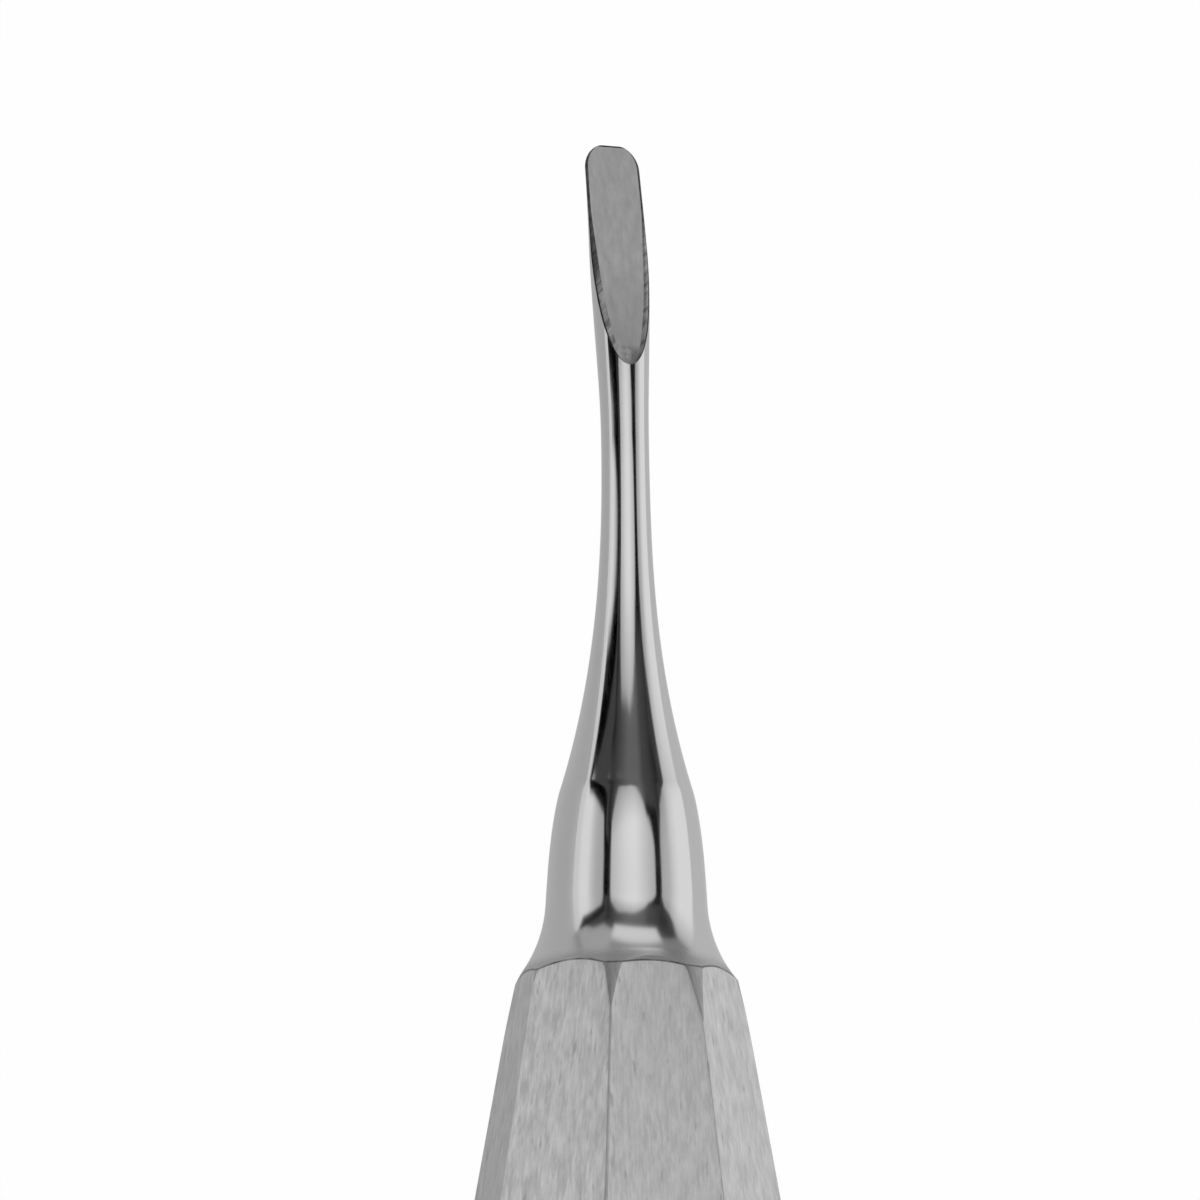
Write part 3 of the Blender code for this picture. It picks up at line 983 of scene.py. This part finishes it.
def inside_grid(side):
    """From the seam down the socket, out to the flat less the wall, and on as a quarter ellipse."""
    angle = side_columns()
    thickness = WALL / math.cos(HALF_SIDE)
    bore = np.full((1, len(angle)), SOCKET_RADIUS)
    edge = 0 * bore + turned_radius(np.float64(SEAM_HEIGHT - CLOSED_SEAM))
    wall_depth = np.linspace(SOCKET_DEPTH, DOME_START, INSIDE_ROWS)[:, None]
    wall = (corner_radius(wall_depth) - thickness) * math.cos(HALF_SIDE) / np.cos(angle)
    turn = np.linspace(0, math.pi / 2, INSIDE_DOME_ROWS)[1:, None]
    depth = np.concatenate([[[CLOSED_SEAM - SEAM_HEIGHT]] * 2, [[SOCKET_DEPTH]], wall_depth])
    depth = np.concatenate([depth, DOME_START + (DOME_LENGTH - thickness) * np.sin(turn)])
    radius = np.concatenate([edge, bore, bore, wall, wall[-1:] * np.cos(turn)])
    return outside_grid(side, depth + 0 * radius, radius)


print("inside, a side has", inside_grid(0)[1].shape[0], "rows")

# %% [markdown]
# The dressed front of the handle carries on the collar's shine. It is bright at the seam and softer and
# greyer towards the brushed sides, because the belt has strayed over it. Both changes are Map Range nodes
# on the distance along the steel.

# %% Dressed front
DRESSED_START = -0.95
GREY_FROM = -0.45
SOFT_FROM = -0.35


def dressed_steel():
    """Roughness of haze and distance added together; grey of the distance from the seam."""
    material, tree, shader = start_metal("dressed_bright", grey=0.69, roughness=0.18)
    haze = ranged(tree, noise(tree, across=3, along=1, detail=3), 0.0, 0.06)
    softer = ranged(tree, pattern_along(tree), 0.15, 0.34, start=DRESSED_START, end=SOFT_FROM)
    tree.links.new(maths(tree, "ADD", haze, softer), shader.inputs["Roughness"])
    greyer = ranged(tree, pattern_along(tree), 0.69, 0.54, start=DRESSED_START, end=GREY_FROM)
    tree.links.new(grey_from(tree, greyer), shader.inputs["Base Color"])
    return material


bright = dressed_steel()
# Painted shade: a thin dark line round each scallop.
painted_shade_line = line_steel("painted_shade_scallop", dark=0.14, light=0.36)
print("made", bright.name, "and", painted_shade_line.name)

# %% [markdown]
# The flats are brushed on a belt, along the handle. Thin streaks, broad patches where the belt pressed
# harder and short dark dashes are three noises, each stretched along the steel by a different scale.
# Sides held to a belt by hand seldom come out quite alike, so the same finish is made in several greys,
# set against the tones of the photograph. The lighter upper side and the darker left sides are partly the
# belt's unevenness and partly painted light and shade.

# %% Satin steel
def satin_steel(name, dark, light):
    """Grey of six tenths streaks and four tenths patches, times the dashes; the streaks are bumps too."""
    material, tree, shader = start_metal(name, grey=(dark + light) / 2, roughness=0.42)
    streaks = noise(tree, across=6, along=0.9, detail=4, roughness=0.65)
    patches = noise(tree, across=1.6, along=0.5, detail=3)
    thin, broad = maths(tree, "MULTIPLY", streaks, 0.6), maths(tree, "MULTIPLY", patches, 0.4)
    marks = maths(tree, "ADD", thin, broad)
    dashes = ranged(tree, noise(tree, across=3.2, along=0.6), 1.0, 0.76, start=0.64, end=0.72)
    value = maths(tree, "MULTIPLY", ranged(tree, marks, dark, light, start=0.4, end=0.6), dashes)
    tree.links.new(grey_from(tree, value), shader.inputs["Base Color"])
    tree.links.new(ranged(tree, marks, 0.48, 0.38, start=0.38, end=0.62), shader.inputs["Roughness"])
    emboss(tree, shader, streaks, height=0.008, strength=0.6)
    return material


satin = satin_steel("satin_brushed", dark=0.655, light=0.84)
# Partly painted light and shade: the upper side is lighter and the left sides darker.
upper = satin_steel("painted_light_satin_upper", dark=0.73, light=0.91)
left = satin_steel("painted_shade_satin_left", dark=0.58, light=0.74)
# The columns next to each corner are darker; the darkest corner is painted shade.
corner = satin_steel("dark_corner_columns", dark=0.62, light=0.77)
shaded_corner = satin_steel("painted_shade_corner", dark=0.46, light=0.6)
# The sliver on each corner is darker than the flats.
dark_sliver = satin_steel("dark_sliver_satin", dark=0.37, light=0.5)
print("satin greys:", ", ".join(material.name for material in (satin, upper, left, corner, shaded_corner, dark_sliver)))

# %% [markdown]
# Each side is cut into its grids, and every grid says which finish it wears. The two columns next to a
# corner have a darker finish of their own. The corner that the eye meets between the upper side and its
# left neighbour is darkest, which is painted shade.

# %% All the grids of one side
BRIGHT, SATIN, CORNER, DARK_SLIVER, LINE, LIT_TOP_SIDE, SHADED_SIDES, SHADED_CORNER = range(8)
SIDE_FINISHES = (LIT_TOP_SIDE, SATIN, SATIN, SATIN, SATIN, SHADED_SIDES, SHADED_SIDES, SHADED_SIDES)
CORNER_COLUMNS = 2
LAST_CORNER_START = SIDE_COLUMNS - CORNER_COLUMNS


def side_grids(side):
    """Inside, flare and its end, dark line, sliver, flat between darker corners, and dome."""
    angle = side_columns()
    turned_to = angle + side * 2 * HALF_SIDE
    far_crease = far_crease_depths()
    front = front_rows(side, crease_depths(turned_to))
    flats = flat_rows(front[-1][-1], far_crease)
    dome = dome_rows(far_crease)
    flat_surface = handle_radius(flats, angle, turned_to)
    flat_surface[-1] = dome_radius(dome[0])
    # Painted shade: the corner between the upper side and its left neighbour is darkest.
    first = SHADED_CORNER if side == 0 else CORNER
    last = SHADED_CORNER if side == SIDES - 1 else CORNER
    grids = [(inside_grid(side), SATIN)]
    for rows, finish in zip(front, (BRIGHT, BRIGHT, LINE, DARK_SLIVER)):
        grids.append((outside_grid(side, rows, handle_radius(rows, angle, turned_to)), finish))
    flat_finishes = (first, SIDE_FINISHES[side], last)
    starts = (0, CORNER_COLUMNS, LAST_CORNER_START)
    ends = (CORNER_COLUMNS, LAST_CORNER_START, SIDE_COLUMNS)
    for finish, start, end in zip(flat_finishes, starts, ends):
        grids.append((outside_grid(side, flats, flat_surface, slice(start, end + 1)), finish))
    grids.append((outside_grid(side, dome, dome_radius(dome)), SATIN))
    return grids


print("one side is", len(side_grids(0)), "grids")

# %% Build the handle
handle_grids = [grid for side in range(SIDES) for grid in side_grids(side)]
handle_finishes = [bright, satin, corner, dark_sliver, painted_shade_line, upper, left, shaded_corner]
make_piece("satin_handle", handle_grids, handle_finishes, "hollow_handle")

# %% [markdown]
# The instrument lies on a plain white bench. To the camera the bench is nearly all glow, so that it is
# white from edge to edge, and the rest is matt paint that keeps a faint shadow. A Light Path node tells a
# ray of the camera from one that comes off the steel. In the steel the bench is dim, and less so on its
# right, where daylight would fall on it.

# %% Paint and glow of the bench
BENCH_GREY = 0.86
BENCH_ROUGHNESS = 0.9
WHITE_SHARE = 0.985
DIM_LEFT = 0.054
DIM_RIGHT = 0.346
DIM_REACH = 0.03


def white_bench():
    """Paint mixed with glow; the glow's share is the larger of the camera's and the steel's."""
    material = bpy.data.materials.new("white_bench")
    material.use_nodes = True
    tree = material.node_tree
    shader = tree.nodes["Principled BSDF"]
    shader.inputs["Base Color"].default_value = (BENCH_GREY, BENCH_GREY, BENCH_GREY, 1)
    shader.inputs["Roughness"].default_value = BENCH_ROUGHNESS
    glow = tree.nodes.new("ShaderNodeEmission")
    path = tree.nodes.new("ShaderNodeLightPath")
    place = tree.nodes.new("ShaderNodeTexCoord")
    parts = tree.nodes.new("ShaderNodeSeparateXYZ")
    tree.links.new(place.outputs["Object"], parts.inputs[0])
    in_steel = ranged(tree, parts.outputs["X"], DIM_LEFT, DIM_RIGHT, -DIM_REACH, DIM_REACH)
    in_steel = maths(tree, "MULTIPLY", path.outputs["Is Glossy Ray"], in_steel)
    to_camera = maths(tree, "MULTIPLY", path.outputs["Is Camera Ray"], WHITE_SHARE)
    mix = tree.nodes.new("ShaderNodeMixShader")
    tree.links.new(maths(tree, "MAXIMUM", in_steel, to_camera), mix.inputs[0])
    tree.links.new(shader.outputs[0], mix.inputs[1])
    tree.links.new(glow.outputs[0], mix.inputs[2])
    tree.links.new(mix.outputs[0], tree.nodes["Material Output"].inputs[0])
    return material


bench_paint = white_bench()
print("made", bench_paint.name, "with", len(bench_paint.node_tree.nodes), "nodes")

# %% Bench
BENCH_REACH = 1.5


def make_bench():
    """One square face at nought height, where the instrument rests."""
    low, high = -BENCH_REACH, BENCH_REACH
    mesh = bpy.data.meshes.new("bench")
    mesh.from_pydata([(low, low, 0), (high, low, 0), (high, high, 0), (low, high, 0)], [], [(0, 1, 2, 3)])
    mesh.materials.append(bench_paint)
    item = bpy.data.objects.new("bench", mesh)
    bpy.context.scene.collection.objects.link(item)


make_bench()
print("the bench is", 2 * BENCH_REACH, "m wide")

# %% [markdown]
# Bright metal has no look of its own: it shows the room. A picture of a room could be wrapped round the
# world, but six cards are easier to aim. They stand round the collar, and the camera doesn't see them.
# Each is a grid whose points glow by a formula, which is stored as an attribute and read by an Emission
# node. Places on a card are counted in card distances from the collar: x to the right, n up from the
# ground face, d towards the tip. The edges and tables of the cards were found by following tones of the
# polished steel in the photograph back to where a mirror there would look, thinned to a few places, and
# then corrected from one render to the next.

# %% Glow from an attribute
GLOW = "glow"


def glowing(name):
    """A material that glows as strongly as the attribute says, and that isn't aimed at as a lamp is."""
    material = bpy.data.materials.new(name)
    material.use_nodes = True
    tree = material.node_tree
    tree.nodes.remove(tree.nodes["Principled BSDF"])
    glow = tree.nodes.new("ShaderNodeEmission")
    stored = tree.nodes.new("ShaderNodeAttribute")
    stored.attribute_name = GLOW
    tree.links.new(stored.outputs["Fac"], glow.inputs["Strength"])
    tree.links.new(glow.outputs[0], tree.nodes["Material Output"].inputs[0])
    material.cycles.emission_sampling = "NONE"
    return material


print("the cards' attribute is called", GLOW)

# %% A card
CARD_DISTANCE = 200.0
CARD_CENTRE = 7.0
CARD_CELLS = 60
CARD_STRENGTH = 1.085


def make_card(name, corner, first_side, second_side, glow_at, nearness=1.0):
    """A corner plus shares of two sides gives the card's points, and glow_at their strength."""
    share = np.linspace(0, 1, CARD_CELLS + 1)
    first = share[:, None, None] * np.array(first_side)
    second = share[None, :, None] * np.array(second_side)
    points = (np.array(corner) + first + second).reshape(-1, 3)
    places = points * CARD_DISTANCE * nearness + np.array([0, 0, CARD_CENTRE])
    mesh = bpy.data.meshes.new(name)
    mesh.from_pydata(lay_down(places), [], weave(CARD_CELLS + 1, CARD_CELLS + 1))
    strength = (CARD_STRENGTH * glow_at(*points.T)).astype(np.float32)
    mesh.attributes.new(GLOW, "FLOAT", "POINT").data.foreach_set("value", strength)
    mesh.materials.append(glowing(name))
    item = bpy.data.objects.new(name, mesh)
    bpy.context.scene.collection.objects.link(item)
    item.visible_camera = False
    print(name, "glows from", round(float(strength.min()), 2), "to", round(float(strength.max()), 2))


print("a card has", CARD_CELLS**2, "faces")

# %% [markdown]
# The softbox hangs over the instrument and makes the bright band down the middle of the shank and the
# bright lobes of the collar. It is brightest over the middle line and dimmer to its sides. Beyond its
# uneven far end there is only a dim ceiling, and that gives the trumpet its dark zone. The ceiling goes
# on as a card of its own.

# %% Dim ceiling
SOFT_EDGE = 0.03
CEILING_START = 0.6
# A table's first row has places, and its second row how bright it is there.
CEILING_ACROSS = (
    (-0.95, -0.75, -0.5, -0.2, 0.15, 0.35, 0.7, 0.95),
    (0.02, 0.05, 0.08, 0.14, 0.14, 0.07, 0.05, 0.02),
)


def within(distance):
    """Fades from 0 outside an edge to 1 inside it."""
    return smooth_step(distance / SOFT_EDGE + 0.5)


def ceiling_glow(x, n, d):
    """The dim ceiling: its table across, with a wide soft start."""
    return np.interp(x, *CEILING_ACROSS) * within((d - CEILING_START) / 3)


print("the ceiling over the middle line glows by", round(float(ceiling_glow(0.0, 1.0, 1.0)), 2))

# %% Softbox
SOFTBOX_LEFT = -0.79
SOFTBOX_RIGHT = 0.52
SOFTBOX_ACROSS = (
    (-0.79, -0.58, -0.3, -0.1, 0.0, 0.14, 0.36, 0.52),
    (0.66, 0.74, 0.92, 0.98, 0.96, 0.84, 0.66, 0.58),
)
SOFTBOX_ALONG = (
    (0.0, 0.3, 0.45, 0.5, 0.56, 0.65, 0.72, 0.85),
    (0.9, 0.87, 0.92, 0.9, 0.78, 0.66, 0.58, 0.5),
)
# This one says for places across how far the softbox reaches along.
SOFTBOX_END = (
    (-0.79, -0.65, -0.54, -0.26, -0.12, 0.02, 0.1, 0.23, 0.3, 0.42, 0.52),
    (0.6, 0.74, 0.82, 0.76, 0.765, 0.72, 0.68, 0.61, 0.54, 0.5, 0.42),
)


def softbox_glow(x, n, d):
    """The tables across and along multiplied inside the softbox, and the ceiling outside it."""
    lit = within(np.interp(x, *SOFTBOX_END) - d) * within(x - SOFTBOX_LEFT) * within(SOFTBOX_RIGHT - x)
    across_and_along = np.interp(x, *SOFTBOX_ACROSS) * np.interp(d, *SOFTBOX_ALONG)
    return across_and_along * lit + ceiling_glow(x, n, d) * (1 - lit)


make_card("softbox", (-0.8, 1, -0.9), (1.36, 0, 0), (0, 0, 1.8), softbox_glow)
make_card("ceiling", (-1, 1.02, 0.64), (1.88, 0, 0), (0, 0, 0.46), ceiling_glow)

# %% [markdown]
# A tall pale screen stands close by on the left. Being near, it shows at a different angle from each part
# of the steel, so it draws a thin dark line on the shank and leaves a wide dark zone on the trumpet. The
# corner of the room behind it is dark, and grey low down beside the far wall.

# %% Left screen and corner
LEFT_NEARNESS = 0.4
LEFT_TOP = 0.885
LEFT_END = 0.615
LEFT_UP = (
    (0.0, 0.1, 0.3, 0.45, 0.6, 0.8),
    (0.72, 0.84, 0.84, 0.62, 0.5, 0.46),
)
CORNER_GREY = 0.36
CORNER_DARK = 0.06


def left_glow(x, n, d):
    """The table upwards, below a top that falls to both sides; low down the end reaches further."""
    top = LEFT_TOP - 0.4 * np.maximum(d - 0.45, 0) - 0.3 * np.maximum(0.3 - d, 0)
    end = LEFT_END + 0.04 * n + 1.4 * np.maximum(0.15 - n, 0)
    return np.interp(n, *LEFT_UP) * within(end - d) * within(top - n)


def corner_glow(x, n, d):
    """Dark, plus grey below a slanting line."""
    return CORNER_DARK * within((d - 0.58) / 2) + CORNER_GREY * within(d - 0.72 - n)


make_card("left_card", (-1, -0.13, -0.85), (0, 1.05, 0), (0, 0, 1.7), left_glow, LEFT_NEARNESS)
make_card("left_corner", (-1, -0.07, 0.3), (0, 1.17, 0), (0, 0, 0.8), corner_glow)

# %% [markdown]
# On the right a pale screen slants down towards the tip and fades there, so that the right side of the
# shank and the collar runs from bright to grey. The far wall shows in the flare and in the lower ends of
# the lobes: a bright middle above grey, dark on its right, and grey on its left low down.

# %% Right screen
RIGHT_TOP = 1.32
RIGHT_UP = (
    (0.0, 0.4, 0.62, 0.85, 1.11, 1.42),
    (0.86, 0.86, 0.74, 0.54, 0.5, 0.44),
)
RIGHT_ALONG = (
    (0.5, 0.64, 0.75, 0.87, 1.0, 1.14, 1.3),
    (1.0, 0.9, 0.8, 0.72, 0.6, 0.45, 0.3),
)
RIGHT_END = (
    (0.0, 0.39, 0.59, 0.77, 1.12, 1.42),
    (1.3, 1.12, 0.9, 0.82, 0.8, 0.55),
)
BESIDE_RIGHT = 0.05


def right_glow(x, n, d):
    """The tables up and along multiplied, inside an end that slants with the height."""
    glow = np.interp(n, *RIGHT_UP) * np.interp(d, *RIGHT_ALONG)
    inside = within(np.interp(n, *RIGHT_END) - d) * within(RIGHT_TOP - n)
    return BESIDE_RIGHT + (glow - BESIDE_RIGHT) * inside


make_card("right_card", (1, -0.07, -0.9), (0, 1.5, 0), (0, 0, 2.2), right_glow)

# %% Far wall
FAR_UP = (
    (0.0, 0.42, 0.46, 0.53, 0.6, 1.0),
    (0.26, 0.28, 0.36, 0.68, 0.76, 0.78),
)
FAR_RIGHT_EDGE = 0.55
FAR_LEFT_TOP = 0.7
FAR_SIDES_TOP = 0.84
LEFT_DARK, LEFT_GREY = 0.05, 0.37
RIGHT_DARK, RIGHT_GREY = 0.04, 0.2


def far_glow(x, n, d):
    """The table upwards in the middle; beside it a grey below a slanting line, and the ceiling on top."""
    left_slant = 0.39 + 2.3 * (x + 1)
    right_slant = 0.585 - 0.48 * (x - 0.54)
    left = LEFT_DARK + LEFT_GREY * within(left_slant - n) * within(FAR_LEFT_TOP - n)
    right = RIGHT_DARK + RIGHT_GREY * within(right_slant - n)
    above = ceiling_glow(x, 1.0, 1.0)
    beside = above + (np.where(x < 0, left, right) - above) * within(FAR_SIDES_TOP - n)
    from_left_edge = x + 0.25 + 0.4 * n
    from_top = 0.94 - 0.25 * x * x - n
    middle = within(from_left_edge) * within(FAR_RIGHT_EDGE - x) * within(from_top)
    return beside + (np.interp(n, *FAR_UP) - beside) * middle


make_card("far_card", (-1, -0.07, 1.1), (2, 0, 0), (0, 1.12, 0), far_glow)

# %% [markdown]
# What no card covers is the world. It is white to the camera, as the bench is, and nearly black to
# everything else, so the gaps between the cards draw the thin dark lines that make steel look like steel.

# %% Room
DARK_ROOM = 0.012


def make_room():
    """A world whose grey is the larger of 1 for a camera ray and the dark of the room."""
    world = bpy.data.worlds.new("room")
    world.use_nodes = True
    bpy.context.scene.world = world
    tree = world.node_tree
    path = tree.nodes.new("ShaderNodeLightPath")
    seen = maths(tree, "MAXIMUM", path.outputs["Is Camera Ray"], DARK_ROOM)
    tree.links.new(grey_from(tree, seen), tree.nodes["Background"].inputs["Color"])


make_room()
print("between the cards the room's grey is", DARK_ROOM)

# %% [markdown]
# The camera looks at the ground face from a little to the left and from the handle's side, through a long
# lens, so that the handle's flats keep their true taper. Its place is worked out from the instrument's
# own axis, and the lens from how many pixels a millimetre of steel should take.

# %% Camera
VIEW_TURN = math.radians(15)
VIEW_PITCH = math.radians(13.6)
VIEW_DISTANCE = 400.0
AIM_ALONG = 20.5
AXIS_FROM_CENTRE = 26.2
PIXELS_PER_MM = 19.0
SENSOR = 36.0
PICTURE = 1200


def make_camera():
    """Aims beside the axis; the lens is sensor times pixels per mm times distance over picture."""
    turn, pitch = VIEW_TURN, VIEW_PITCH
    level = math.cos(pitch)
    back = np.array([-math.sin(turn) * level, math.cos(turn) * level, -math.sin(pitch)])
    right = np.array([math.cos(turn), math.sin(turn), 0])
    aim = np.array([0, 0, AIM_ALONG]) - AXIS_FROM_CENTRE / PIXELS_PER_MM * right
    eye, aim, side = (Vector(lay_down(point)) for point in (aim + VIEW_DISTANCE * back, aim, aim + right))
    away = (eye - aim).normalized()
    across = (side - aim).normalized()
    camera = bpy.data.cameras.new("view")
    camera.sensor_width = SENSOR
    camera.lens = SENSOR * PIXELS_PER_MM * VIEW_DISTANCE / PICTURE
    item = bpy.data.objects.new("view", camera)
    axes = Matrix((across, away.cross(across), away)).transposed()
    item.matrix_world = Matrix.Translation(eye) @ axes.to_4x4()
    bpy.context.scene.collection.objects.link(item)
    bpy.context.scene.camera = item
    print("camera at", [round(value, 3) for value in eye], "with a lens of", round(camera.lens), "mm")


make_camera()
bpy.context.scene.view_settings.view_transform = "Standard"
